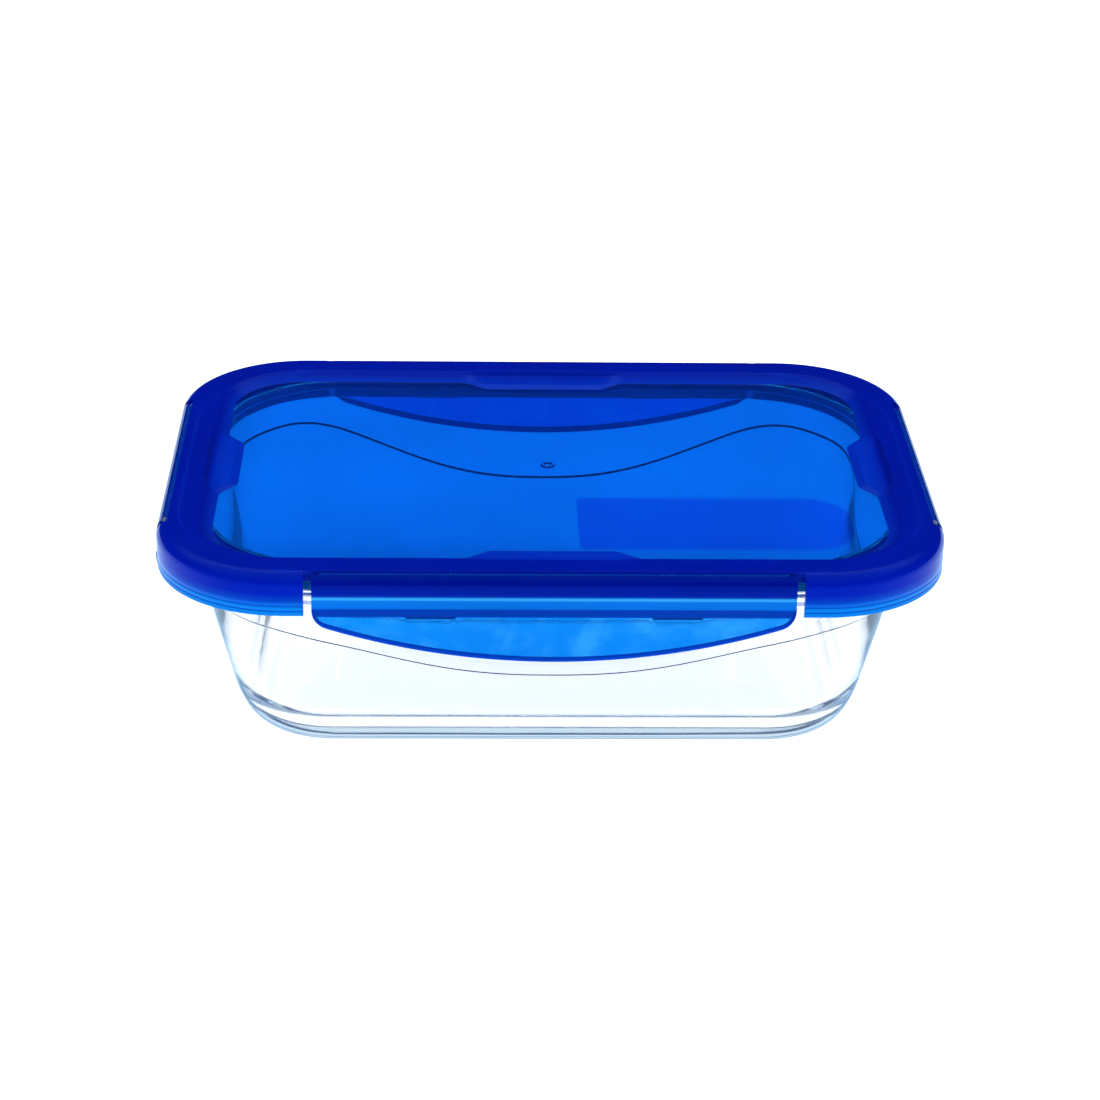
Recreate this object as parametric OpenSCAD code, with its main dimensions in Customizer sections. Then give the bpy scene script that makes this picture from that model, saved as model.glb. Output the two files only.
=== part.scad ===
// Rectangular glass storage container with a four-flap snap lid.
// Millimetres. Z is up, the base rests on z = 0, X runs along the long side,
// and the front is the -Y side. Every flap is drawn swung shut but not yet snapped.

/* [Overall] */
// length of the lid's outline along X
lid_l = 240; // [200:1:320]
// width of the lid's outline along Y
lid_w = 172; // [140:1:230]
// height of the closed container, from the base to the lid's crest
overall_h = 70; // [60:1:110]
// radius of the lid's corners
corner_r = 40; // [32:1:50]

/* [Glass dish] */
// inset of the glass wall from the lid's outline, just under the lid
wall_inset = 9.7; // [8:0.1:13]
// inset of the wall where it meets the rounded heel
heel_inset = 20.6; // [18:0.1:26]
// inset of the flat base
base_inset = 29.3; // [27:0.1:36]
// radius of the glass wall's corners just under the lid
wall_corner_r = 43.6; // [38:0.1:48]
// thickness of the glass wall
glass_t = 4; // [3:0.1:5.5]
// thickness of the glass floor
floor_t = 5; // [4:0.1:7]
// height of the rounded heel
heel_h = 14; // [10:0.5:18]
// thickness of the rim's flange
flange_t = 3.8; // [3:0.1:5]
// inset of the flange's outer face from the lid's outline
flange_inset = 3.2; // [3:0.1:4]
// depth of the shallow recess under the base
base_recess = 0.8; // [0.4:0.1:1.5]

/* [Lid cover] */
// height of the lid's crest above the glass rim
crest_above_rim = 7.8; // [7:0.1:10]
// thickness of the flat panel
panel_t = 1.6; // [1.2:0.1:2.5]
// depth of the panel below the crest
panel_drop = 2.4; // [1.5:0.1:3]
// radius of the rounded shoulder
shoulder_r = 4; // [3.5:0.1:5]
// inset of the crest's inner edge
crest_inset = 12.5; // [11:0.5:15]
// inset of the foot of the slope, where the panel begins
foot_inset = 17; // [15:0.5:20]
// wall thickness of the corner skirts
skirt_t = 1.6; // [1.2:0.1:2]
// how far the corner skirts reach below the crest
skirt_drop = 13.3; // [12:0.1:16]
// depth of the thumb pads below the crest
pad_drop = 1.6; // [1:0.1:2]

/* [Gasket and its channel] */
// inset of the channel's outer rib
rib_inset = 5; // [4.8:0.1:6]
// thickness of the channel's outer rib and of the plug wall
rib_t = 1.4; // [1:0.1:2]
// gap between the plug wall and the inner face of the glass rim
plug_gap = 0.8; // [0.4:0.1:1.5]
// how far the plug wall reaches below the glass rim
plug_drop = 1.7; // [1:0.1:4]
// width of the gasket's body
gasket_w = 5.1; // [4:0.1:6]

/* [Locking flaps] */
// thickness of a flap
flap_t = 1.5; // [1.2:0.1:2]
// half length of the front and back flaps
long_half = 71.3; // [60:0.1:80]
// half length of the left and right flaps
short_half = 45.9; // [35:0.1:50]
// width of the slot between a flap and a corner skirt
slot_w = 2.35; // [1.5:0.05:4]
// height of the tab's lowest point above the base
tab_low = 42; // [30:1:50]
// radius of the tab's curved lower edge on the long flaps
tab_r_long = 215; // [180:5:300]
// radius of the tab's curved lower edge on the short flaps
tab_r_short = 95; // [80:1:140]
// radius of a flap's lower corners
tab_corner_r = 6; // [4:0.5:8]
// height of the thicker bead along the tab's edge
bead_h = 1.4; // [1:0.1:2.5]
// how far the bead stands out from the tab
bead_out = 0.6; // [0.3:0.1:1]
// how far the locking rib stands in from the flap
rib_in = 1.4; // [1:0.1:1.6]
// gap between the locking rib and the flange's underside when it swings in
snap_gap = 0.3; // [0.2:0.05:0.6]

/* [Living hinges] */
// inset of the hinge line
hinge_inset = 2.7; // [2.4:0.1:3.2]
// drop of the hinge line below the crest
hinge_drop = 0.8; // [0.6:0.1:1.2]
// half width of the hinge groove
groove_half = 0.7; // [0.6:0.05:0.9]
// thickness of the hinge web
web_t = 0.4; // [0.3:0.05:0.6]
// how far the web stops short of the flap's end
web_short = 2.3; // [1:0.1:5]

/* [Hidden] */
rim_z = overall_h - crest_above_rim;
flange_z = rim_z - flange_t;
panel_z = overall_h - panel_drop;
under_z = panel_z - panel_t;
shoulder_z = overall_h - shoulder_r;
skirt_z = overall_h - skirt_drop;
pad_z = overall_h - pad_drop;
hinge_z = overall_h - hinge_drop;
lid_cx = lid_l / 2 - corner_r;
lid_cy = lid_w / 2 - corner_r;
dish_r = wall_corner_r + wall_inset;
dish_cx = lid_l / 2 - dish_r;
dish_cy = lid_w / 2 - dish_r;
rim_inset = wall_inset + glass_t - 0.8;
plug_inset = rim_inset + plug_gap;
groove_u = hinge_inset + groove_half;
flap_u = hinge_inset - groove_half;
swing_r = hinge_z - flange_z + snap_gap;

glass_c = [0.86, 0.94, 0.96, 0.35];
lid_c = [0.05, 0.32, 0.88, 0.75];
flap_c = [0.12, 0.45, 0.95, 0.75];
web_c = [0.2, 0.6, 0.98, 0.75];
seal_c = [0.93, 0.94, 0.95];

function arc(cx, cy, rx, ry, a0, a1, n) =
    [for (i = [0:n]) let (a = a0 + (a1 - a0) * i / n) [cx + rx * cos(a), cy + ry * sin(a)]];

// curve from (x0, z0), level at its start, that rises to (x1, z1) and steepens towards a
function heel(x0, z0, x1, z1, a, n) =
    [for (i = [0:n]) let (s = a * i / n)
        [x0 + (x1 - x0) * sin(s) / sin(a), z0 + (z1 - z0) * (1 - cos(s)) / (1 - cos(a))]];

function rev(p) = [for (i = [len(p) - 1:-1:0]) p[i]];

// a profile carried round a rounded rectangle whose corner centres are at (cx, cy)
module around(cx, cy) {
    translate([cx, cy, 0]) rotate_extrude(angle = 90, $fn = 96) children();
    translate([-cx, cy, 0]) rotate([0, 0, 90]) rotate_extrude(angle = 90, $fn = 96) children();
    translate([-cx, -cy, 0]) rotate([0, 0, 180]) rotate_extrude(angle = 90, $fn = 96) children();
    translate([cx, -cy, 0]) rotate([0, 0, 270]) rotate_extrude(angle = 90, $fn = 96) children();
    translate([cx, cy, 0]) rotate([90, 0, 0]) linear_extrude(2 * cy) children();
    translate([-cx, -cy, 0]) rotate([0, 0, 180]) rotate([90, 0, 0]) linear_extrude(2 * cy) children();
    translate([-cx, cy, 0]) rotate([0, 0, 90]) rotate([90, 0, 0]) linear_extrude(2 * cx) children();
    translate([cx, -cy, 0]) rotate([0, 0, 270]) rotate([90, 0, 0]) linear_extrude(2 * cx) children();
}

// the four sides: 0 front, 1 right, 2 back, 3 left, seen with the outline at y = 0
module on_side(i) {
    rotate([0, 0, 90 * i]) translate([0, (i % 2 == 0 ? -lid_w : -lid_l) / 2, 0]) children();
}

module block(x0, x1, y0, y1, z0, z1) {
    translate([x0, y0, z0]) cube([x1 - x0, y1 - y0, z1 - z0]);
}

// ---- glass dish: tempered dish with a flanged rim, a rounded heel and a recessed base ----
module glass_dish() {
    r_wall = dish_r - wall_inset;
    r_heel = dish_r - heel_inset;
    r_base = dish_r - base_inset;
    r_lip = dish_r - flange_inset;
    wall_z = flange_z - 1.4;
    profile = concat(
        [[0, base_recess], [r_base - 7, base_recess], [r_base - 6.2, 0]],
        heel(r_base, 0, r_heel, heel_h, 50, 10),
        [[r_wall, wall_z], [r_wall + 0.7, wall_z + 0.95], [r_wall + 1.8, flange_z]],
        arc(r_lip - 0.6, flange_z + 0.6, 0.6, 0.6, -90, 0, 3),
        arc(r_lip - 1.2, rim_z - 1.2, 1.2, 1.2, 0, 90, 5),
        arc(r_wall - glass_t + 1.8, rim_z - 1, 1, 1, 90, 180, 5),
        rev(heel(r_base - 6.5, floor_t, r_heel - glass_t + 0.3, heel_h + 2, 72, 10)),
        [[0, floor_t]]);
    color(glass_c) union() {
        around(dish_cx, dish_cy) polygon(profile);
        block(-dish_cx, dish_cx, -dish_cy, dish_cy, base_recess, floor_t);
    }
}

// ---- silicone gasket: a body stretched round the plug wall and a lip on the glass rim ----
module silicone_gasket() {
    r0 = dish_r - plug_inset;
    color(seal_c) around(dish_cx, dish_cy) polygon([
        [r0, rim_z + 0.9], [r0 + 2.2, rim_z], [r0 + 6.1, rim_z], [r0 + 6.7, rim_z + 0.5],
        [r0 + 6.5, rim_z + 1.3], [r0 + gasket_w, rim_z + 1.9], [r0 + gasket_w, under_z], [r0, under_z]]);
}

// ---- lid cover: panel, raised ring with thumb pads, corner skirts, plug and channel rib ----
module pad_shape(wide, tall) {
    // the slope at the pad's foot, cut to the pad's outline
    intersection() {
        translate([-wide, 0, 0]) rotate([90, 0, 90]) linear_extrude(2 * wide)
            polygon([[crest_inset - 1, panel_z - 0.4], [foot_inset + tall, panel_z - 0.4],
                [foot_inset + tall, panel_z], [foot_inset + tall - 2.2, pad_z + 0.5],
                [crest_inset - 1, pad_z + 0.5]]);
        translate([0, 0, panel_z - 1]) linear_extrude(5)
            polygon([[-wide + 7, crest_inset], [-wide, foot_inset], [-wide + 9, foot_inset + tall + 1],
                [wide - 9, foot_inset + tall + 1], [wide, foot_inset], [wide - 7, crest_inset]]);
    }
}

module pad_pocket(wide) {
    translate([0, 0, pad_z]) linear_extrude(5)
        polygon([[-wide + 6, crest_inset - 0.8], [wide - 6, crest_inset - 0.8],
            [wide + 2, foot_inset + 0.6], [wide + 2, foot_inset + 14], [-wide - 2, foot_inset + 14],
            [-wide - 2, foot_inset + 0.6]]);
}

module lid_cover() {
    r = corner_r;
    profile = concat(
        [[0, under_z], [r - 4.6, under_z], [r - 4.6, overall_h - skirt_t]],
        arc(r - shoulder_r, shoulder_z, shoulder_r - skirt_t, shoulder_r - skirt_t, 90, 0, 6),
        [[r - skirt_t, skirt_z + 0.3], [r - skirt_t + 0.3, skirt_z], [r - 0.5, skirt_z], [r, skirt_z + 0.5]],
        arc(r - shoulder_r, shoulder_z, shoulder_r, shoulder_r, 0, 90, 8),
        [[r - crest_inset, overall_h], [r - foot_inset, panel_z], [0, panel_z]]);
    color(lid_c) union() {
        difference() {
            union() {
                around(lid_cx, lid_cy) polygon(profile);
                block(-lid_cx, lid_cx, -lid_cy, lid_cy, under_z, panel_z);
                for (i = [0:3]) on_side(i)
                    pad_shape(i % 2 == 0 ? 27.5 : 24, 5.6);
            }
            for (i = [0:3]) on_side(i) {
                half = (i % 2 == 0 ? long_half : short_half) + slot_w;
                block(-half, half, -5, groove_u, skirt_z - 5, overall_h + 5);
                pad_pocket(i % 2 == 0 ? 27.5 : 24);
            }
            // shallow write-on patch
            translate([0, 0, panel_z - 0.15]) linear_extrude(1) polygon(concat(
                arc(10, -26.3, 2, 2, 180, 90, 4), arc(80.5, -36.3, 12, 12, 90, 0, 8),
                arc(74.5, -43.5, 18, 18, 0, -90, 8), arc(10, -59.5, 2, 2, -90, -180, 4)));
        }
        // gate mark left where the plastic entered the mould
        translate([0, 0, panel_z - 0.2]) cylinder(h = 0.5, r = 2.2, $fn = 48);
        // channel rib outside the gasket and plug wall inside it
        around(dish_cx, dish_cy) polygon([[dish_r - rib_inset - rib_t, rim_z + 0.5],
            [dish_r - rib_inset, rim_z + 0.5], [dish_r - rib_inset, under_z + 0.4],
            [dish_r - rib_inset - rib_t, under_z + 0.4]]);
        around(dish_cx, dish_cy) polygon([[dish_r - plug_inset - rib_t, rim_z - plug_drop + 0.4],
            [dish_r - plug_inset - rib_t + 0.4, rim_z - plug_drop], [dish_r - plug_inset - 0.4, rim_z - plug_drop],
            [dish_r - plug_inset, rim_z - plug_drop + 0.4], [dish_r - plug_inset, under_z + 0.4],
            [dish_r - plug_inset - rib_t, under_z + 0.4]]);
    }
}

// ---- living hinges: the thin bending web between the cover and each flap ----
module hinge_web(i) {
    half = (i % 2 == 0 ? long_half : short_half) - web_short;
    color(web_c) on_side(i)
        block(-half, half, hinge_inset - groove_half + 0.04, groove_u, hinge_z - web_t / 2, hinge_z + web_t / 2);
}

module front_hinge() { hinge_web(0); }
module right_hinge() { hinge_web(1); }
module back_hinge() { hinge_web(2); }
module left_hinge() { hinge_web(3); }

// ---- locking flaps: shoulder, plate with a curved finger tab, edge bead and locking rib ----
// outline of the plate seen from outside, as (along the side, height)
function tab_edge(half, radius, low) =
    let (zc = low + radius, gap = radius - tab_corner_r, x = half - tab_corner_r,
         z = zc - sqrt(gap * gap - x * x), a = asin(x / gap), n = 24)
    concat(arc(x, z, tab_corner_r, tab_corner_r, 0, a - 90, 6),
        [for (i = [1:n - 1]) let (b = a - 2 * a * i / n) [radius * sin(b), zc - radius * cos(b)]],
        arc(-x, z, tab_corner_r, tab_corner_r, -90 - a, -180, 6));

module plate(half, radius, lift, u0, u1) {
    translate([0, u1, 0]) rotate([90, 0, 0]) linear_extrude(u1 - u0)
        polygon(concat([[-half, shoulder_z], [half, shoulder_z]], tab_edge(half, radius, tab_low + lift)));
}

module flap(i) {
    half = i % 2 == 0 ? long_half : short_half;
    radius = i % 2 == 0 ? tab_r_long : tab_r_short;
    rib_half = half - 5;
    top = hinge_z - swing_r;
    a_out = acos((shoulder_r - flap_u) / shoulder_r);
    a_in = acos((shoulder_r - flap_u) / (shoulder_r - flap_t));
    shoulder = concat(
        [for (s = [0:6]) let (a = a_out * s / 6)
            [shoulder_r - shoulder_r * cos(a), shoulder_z + shoulder_r * sin(a)]],
        [for (s = [6:-1:0]) let (a = a_in * s / 6)
            [shoulder_r - (shoulder_r - flap_t) * cos(a), shoulder_z + (shoulder_r - flap_t) * sin(a)]]);
    color(flap_c) on_side(i) union() {
        translate([half, 0, 0]) rotate([90, 0, -90]) mirror([1, 0, 0]) linear_extrude(2 * half)
            polygon(shoulder);
        plate(half, radius, 0, 0, flap_t);
        // bead along the tab's curved edge
        difference() {
            plate(half, radius, 0, -bead_out, flap_t + 0.3);
            translate([0, 0, bead_h]) plate(half - bead_h, radius, 0, -bead_out - 1, flap_t + 1);
            block(-half - 1, half + 1, -bead_out - 1, flap_t + 1, skirt_z, overall_h);
        }
        // locking rib, with two thicker blocks
        block(-rib_half, rib_half, flap_t - 0.2, flap_t + rib_in, top - 1.2, top);
        for (s = [-1, 1]) block(s * rib_half * 0.55 - 7.5, s * rib_half * 0.55 + 7.5,
            flap_t - 0.2, flap_t + rib_in, top - 2.3, top);
    }
}

module front_flap() { flap(0); }
module right_flap() { flap(1); }
module back_flap() { flap(2); }
module left_flap() { flap(3); }

glass_dish();
silicone_gasket();
lid_cover();
front_hinge();
back_hinge();
left_hinge();
right_hinge();
front_flap();
back_flap();
left_flap();
right_flap();
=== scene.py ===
import math
import bmesh
import bpy
from mathutils import Matrix, Vector


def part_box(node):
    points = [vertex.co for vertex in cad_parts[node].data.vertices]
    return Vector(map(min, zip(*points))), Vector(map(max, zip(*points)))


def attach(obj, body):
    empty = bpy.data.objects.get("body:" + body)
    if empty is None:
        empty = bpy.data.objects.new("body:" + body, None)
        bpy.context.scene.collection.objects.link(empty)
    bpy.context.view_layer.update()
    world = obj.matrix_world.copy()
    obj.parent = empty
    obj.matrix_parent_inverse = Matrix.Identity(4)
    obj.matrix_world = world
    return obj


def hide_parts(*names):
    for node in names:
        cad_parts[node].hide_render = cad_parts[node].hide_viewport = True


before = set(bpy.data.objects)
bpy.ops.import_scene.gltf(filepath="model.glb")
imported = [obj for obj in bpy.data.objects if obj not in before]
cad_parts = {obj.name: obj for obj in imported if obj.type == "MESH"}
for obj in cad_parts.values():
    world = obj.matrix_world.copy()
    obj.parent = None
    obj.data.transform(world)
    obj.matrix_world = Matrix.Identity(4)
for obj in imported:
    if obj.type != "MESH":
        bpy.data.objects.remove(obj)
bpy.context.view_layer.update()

MM = 0.001

# ---------------------------------------------------------------------------------------------
# Glass dish. Pressed, tempered clear glass: a flat foot round a shallow recess, a rounded heel,
# walls that lean out, and a thick flange round the mouth that the flaps lock under. A fine
# pressed step waves round the wall, low in the middle of each side and high at the corners.
# ---------------------------------------------------------------------------------------------
dish_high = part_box("glass_dish")[1]
rim_z = dish_high[2] / MM
flange_inset = 3.2                      # of the glass flange, from the lid's outline
outline_x, outline_y = (round(reach / MM + flange_inset, 3) for reach in dish_high[:2])
lid_corner = 40.0
dish_corner = 53.3                      # radius of the dish's corners, carried out to the lid's outline
dish_half_x = outline_x - dish_corner   # corner centres
dish_half_y = outline_y - dish_corner
flange_t = 3.8
base_t = 5.0
foot_z = 0.04
step_low = (36.5, 31.5, 36.5, 28.5)     # where the step runs lowest, on the right, back, left and front
step_high = 47.5                        # at the corners, and a little more towards the back
step_rises_back = 3.5
step_deep = 0.34
corner_r = 41.0                         # the wall's corner radius where the step runs
corner_half = 32.2                      # and half the way round that corner


def rounded(points, steps=5):
    """A profile whose corners are filleted. Each point is (across, up, fillet radius)."""
    out = []
    for i, (x, z, radius) in enumerate(points):
        if radius <= 0 or i in (0, len(points) - 1):
            out.append((x, z))
            continue
        here = Vector((x, z))
        back = Vector(points[i - 1][:2]) - here
        on = Vector(points[i + 1][:2]) - here
        half = back.angle(on) / 2
        reach = min(radius / math.tan(half), back.length * 0.49, on.length * 0.49)
        start, end = here + back.normalized() * reach, here + on.normalized() * reach
        for s in range(steps + 1):
            k = s / steps
            out.append(tuple(start * (1 - k) ** 2 + here * (2 * k * (1 - k)) + end * k * k))
    return out


def heel(x0, z0, x1, z1, turn, steps):
    """The curve of a pressed heel: level at its start, leaning like the wall at its end."""
    end = math.radians(turn)
    return [(x0 + (x1 - x0) * math.sin(end * i / steps) / math.sin(end),
             z0 + (z1 - z0) * (1 - math.cos(end * i / steps)) / (1 - math.cos(end)), 0)
            for i in range(steps + 1)]


def stops_round(half_x, half_y, along_long, along_short, corner_steps):
    """Stops round a rounded rectangle: (centre x, centre y, outward x, outward y, side, along)."""
    out = []
    sides = [(1, 0, half_x, half_y, along_short), (0, 1, half_x, half_y, along_long),
             (-1, 0, half_x, half_y, along_short), (0, -1, half_x, half_y, along_long)]
    for side, (nx, ny, hx, hy, along) in enumerate(sides):
        reach = hy if nx else hx
        for t in along:
            if abs(t) <= reach:
                out.append((nx * hx - ny * t, ny * hy + nx * t, nx, ny, side, t))
        first = math.atan2(ny, nx)
        cx, cy = nx * hx - ny * hx, ny * hy + nx * hy
        for i in range(1, corner_steps):
            a = first + math.pi / 2 * i / corner_steps
            out.append((cx, cy, math.cos(a), math.sin(a), side, None))
    return out


def even(reach, steps):
    return [-reach + 2 * reach * i / steps for i in range(steps + 1)]


def carried_round(name, stops, profile_at, closed):
    """A mesh made by carrying a profile round the stops. An open profile is capped at both ends."""
    mesh = bmesh.new()
    rings = []
    for stop in stops:
        px, py, nx, ny = stop[:4]
        rings.append([mesh.verts.new(((px + nx * r) * MM, (py + ny * r) * MM, z * MM))
                      for r, z in profile_at(stop)])
    count = len(rings[0])
    for i, ring in enumerate(rings):
        following = rings[(i + 1) % len(rings)]
        for j in range(count if closed else count - 1):
            k = (j + 1) % count
            mesh.faces.new((ring[j], following[j], following[k], ring[k]))
    if not closed:
        mesh.faces.new([ring[0] for ring in reversed(rings)])
        mesh.faces.new([ring[-1] for ring in rings])
    bmesh.ops.recalc_face_normals(mesh, faces=mesh.faces)
    return finished(name, mesh)


def finished(name, mesh):
    """Turns the bmesh into a smooth-shaded object with its hard edges kept."""
    data = bpy.data.meshes.new(name)
    mesh.to_mesh(data)
    mesh.free()
    data.polygons.foreach_set("use_smooth", [True] * len(data.polygons))
    data.set_sharp_from_angle(angle=math.radians(35))
    piece = bpy.data.objects.new(name, data)
    bpy.context.collection.objects.link(piece)
    return piece


def wave_height(stop):
    """Height of the pressed step at a stop: low in the middle of a side, high round the corners."""
    px, py, nx, ny, side, t = stop
    if t is None:
        turned = math.degrees(math.atan2(ny, nx)) % 90
        if turned > 45:
            turned, side = 90 - turned, (side + 1) % 4
        t = (dish_half_x if side % 2 else dish_half_y) + math.radians(turned) * corner_r
    reach = dish_half_x if side % 2 else dish_half_y
    low = step_low[side]
    high = step_high + step_rises_back * (py + ny * lid_corner) / (dish_half_y + lid_corner)
    q = min(abs(t) / (reach + corner_half) / 0.9, 1.0)
    return low + (high - low) * (0.5 - 0.5 * math.cos(math.pi * q ** 1.25))


def dish_profile(stop):
    step = wave_height(stop)

    def wall(z):
        return 32.7 + (z - 14.0) * (43.6 - 32.7) / (57.0 - 14.0)
    foot = [(2, 0.8, 0), (8, 0.72, 0), (14, 0.4, 0), (18, 0.1, 0), (20.5, foot_z, 0)]
    outer = heel(24.0, foot_z, 32.7, 14.0, 50, 14)
    pressed = [(wall(step - 9) - 0.03, step - 9, 0), (wall(step - 4) - 0.14, step - 4, 0),
               (wall(step - 0.5) - step_deep, step - 0.5, 0), (wall(step - 0.3) - step_deep, step - 0.3, 0),
               (wall(step + 0.35), step + 0.35, 0), (wall(step + 0.6), step + 0.6, 0)]
    mouth = [(43.75, 57.6, 0), (44.1, rim_z - flange_t, 1.3), (50.1, rim_z - flange_t, 0.9),
             (50.1, rim_z, 1.5), (40.4, rim_z, 1.5)]
    inner = list(reversed(heel(17.5, base_t, 29.0, 16.0, 72, 14)))
    return rounded(foot + outer + pressed + mouth + inner + [(2, base_t, 0)], 6)


dish_stops = stops_round(dish_half_x, dish_half_y, even(dish_half_x, 46), even(dish_half_y, 24), 22)
dish = carried_round("dish_glass", dish_stops, dish_profile, False)
first_profile = dish_profile(dish_stops[0])
rows = len(first_profile) - 1
step_foot = wave_height(dish_stops[0]) - 0.3
step_row = next(i for i, (r, z) in enumerate(first_profile) if abs(z - step_foot) < 1e-6)
for i, face in enumerate(dish.data.polygons):
    if i < len(dish_stops) * rows and i % rows == step_row:
        face.material_index = 1


def material(name):
    """A new material, its node tree and its Principled shader."""
    made = bpy.data.materials.new(name)
    made.use_nodes = True
    tree = made.node_tree
    shader = next(n for n in tree.nodes if n.type == "BSDF_PRINCIPLED")
    return made, tree, shader


def node(tree, kind, settings=(), **values):
    """A node with its settings, and its inputs set to a value or joined to another node's socket."""
    made = tree.nodes.new(kind)
    for key, value in dict(settings).items():
        setattr(made, key, value)
    for key, value in values.items():
        socket = made.inputs[int(key[1:])] if key[0] == "_" else made.inputs[key.replace("_", " ")]
        if isinstance(value, bpy.types.NodeSocket):
            tree.links.new(value, socket)
        else:
            socket.default_value = value
    return made


def effect(name, inputs, outputs):
    """A shader node group with named inputs and outputs."""
    group = bpy.data.node_groups.new(name, "ShaderNodeTree")
    for label, kind, default in inputs:
        made = group.interface.new_socket(label, in_out="INPUT", socket_type=kind)
        made.default_value = default
    for label, kind in outputs:
        group.interface.new_socket(label, in_out="OUTPUT", socket_type=kind)
    return group, group.nodes.new("NodeGroupInput").outputs, group.nodes.new("NodeGroupOutput").inputs


# Handling marks: faint cloudy smears and a few fine scuffs, as a roughness and a height.
marks, given, sent = effect("handling_marks",
                            [("Clean", "NodeSocketFloat", 0.02), ("Smeared", "NodeSocketFloat", 0.1),
                             ("Size", "NodeSocketFloat", 40.0)],
                            [("Roughness", "NodeSocketFloat"), ("Height", "NodeSocketFloat")])
place = node(marks, "ShaderNodeTexCoord").outputs["Object"]
cloud = node(marks, "ShaderNodeTexNoise", Vector=place, Scale=given["Size"], Detail=4.0, Roughness=0.55)
fine = node(marks, "ShaderNodeTexNoise", Vector=place, Scale=900.0, Detail=2.0)
amount = node(marks, "ShaderNodeMapRange", {"interpolation_type": "SMOOTHSTEP"},
              Value=cloud.outputs["Fac"], _1=0.45, _2=0.75, _3=given["Clean"], _4=given["Smeared"])
marks.links.new(amount.outputs[0], sent["Roughness"])
marks.links.new(fine.outputs["Fac"], sent["Height"])


def add_marks(tree, clean, smeared, size):
    made = tree.nodes.new("ShaderNodeGroup")
    made.node_tree = marks
    made.inputs["Clean"].default_value = clean
    made.inputs["Smeared"].default_value = smeared
    made.inputs["Size"].default_value = size
    return made


clear_glass, tree, shader = material("pressed_clear_glass")
shader.inputs["IOR"].default_value = 1.47
shader.inputs["Transmission Weight"].default_value = 0.98
handled = add_marks(tree, 0.0, 0.035, 55.0)
tree.links.new(handled.outputs["Roughness"], shader.inputs["Roughness"])
place = node(tree, "ShaderNodeTexCoord").outputs["Object"]
flow = node(tree, "ShaderNodeTexNoise", Vector=place, Scale=26.0, Detail=1.0)
tint = node(tree, "ShaderNodeMix", {"data_type": "RGBA"}, _0=flow.outputs["Fac"],
            _6=(0.985, 0.994, 0.998, 1.0), _7=(0.995, 0.998, 1.0, 1.0))
edge_on = tree.nodes.new("ShaderNodeLayerWeight")
edge_on.inputs["Blend"].default_value = 0.5
edging = node(tree, "ShaderNodeMapRange", {"interpolation_type": "SMOOTHSTEP"},
              Value=edge_on.outputs["Facing"], _1=0.28, _2=0.85, _3=0.0, _4=1.0)
edged = node(tree, "ShaderNodeMix", {"data_type": "RGBA"}, _0=edging.outputs[0], _6=tint.outputs[2],
             _7=(0.875, 0.935, 0.97, 1.0))
tree.links.new(edged.outputs[2], shader.inputs["Base Color"])
ripple = node(tree, "ShaderNodeBump", Strength=0.05, Distance=0.002, Height=flow.outputs["Fac"])
tree.links.new(ripple.outputs[0], shader.inputs["Normal"])
absorbing = tree.nodes.new("ShaderNodeVolumeAbsorption")
absorbing.inputs["Color"].default_value = (0.50, 0.78, 0.92, 1.0)
absorbing.inputs["Density"].default_value = 5.5
output = next(n for n in tree.nodes if n.type == "OUTPUT_MATERIAL")
tree.links.new(absorbing.outputs[0], output.inputs["Volume"])
dish.data.materials.append(clear_glass)

# The step's own face is steep and slightly matt, and is given an opaque near-black grey: a painted dark
# line standing in for the shade the clear step shows.
step_painted_dark, tree, shader = material("pressed_step_painted_dark_line")
shader.inputs["IOR"].default_value = 1.47
shader.inputs["Transmission Weight"].default_value = 0.0
fleck = node(tree, "ShaderNodeTexNoise", Vector=node(tree, "ShaderNodeTexCoord").outputs["Object"],
             Scale=300.0, Detail=2.0)
grey = node(tree, "ShaderNodeMix", {"data_type": "RGBA"}, _0=fleck.outputs["Fac"],
            _6=(0.018, 0.022, 0.027, 1.0), _7=(0.035, 0.04, 0.048, 1.0))
tree.links.new(grey.outputs[2], shader.inputs["Base Color"])
handled = add_marks(tree, 0.2, 0.4, 80.0)
tree.links.new(handled.outputs["Roughness"], shader.inputs["Roughness"])
dish.data.materials.append(step_painted_dark)
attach(dish, "dish")
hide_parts("glass_dish")

# ---------------------------------------------------------------------------------------------
# Gasket. One soft silicone ring, stretched round the lid's plug wall, with a thin lip that is
# pressed flat on the top of the glass rim when the lid is shut.
# ---------------------------------------------------------------------------------------------
under_z = 66.0
plug_inset = 13.7                       # of the plug wall's outer face, from the lid's outline
plug_r = dish_corner - plug_inset
gasket_outline = rounded([
    (plug_r + 1, under_z - 0.05, 0), (plug_r + 0.04, under_z - 0.05, 0.4),
    (plug_r + 0.04, rim_z + 0.9, 0.6), (plug_r + 2.2, rim_z + 0.03, 0.8),
    (plug_r + 6.1, rim_z + 0.03, 0.5), (plug_r + 6.7, rim_z + 0.5, 0.3),
    (plug_r + 6.5, rim_z + 1.3, 0.4), (plug_r + 5.1, rim_z + 1.9, 0.5), (plug_r + 5.1, under_z - 0.05, 0.4),
    (plug_r + 2, under_z - 0.05, 0)], 4)
gasket = carried_round("gasket_ring", dish_stops, lambda stop: gasket_outline, True)

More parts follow.
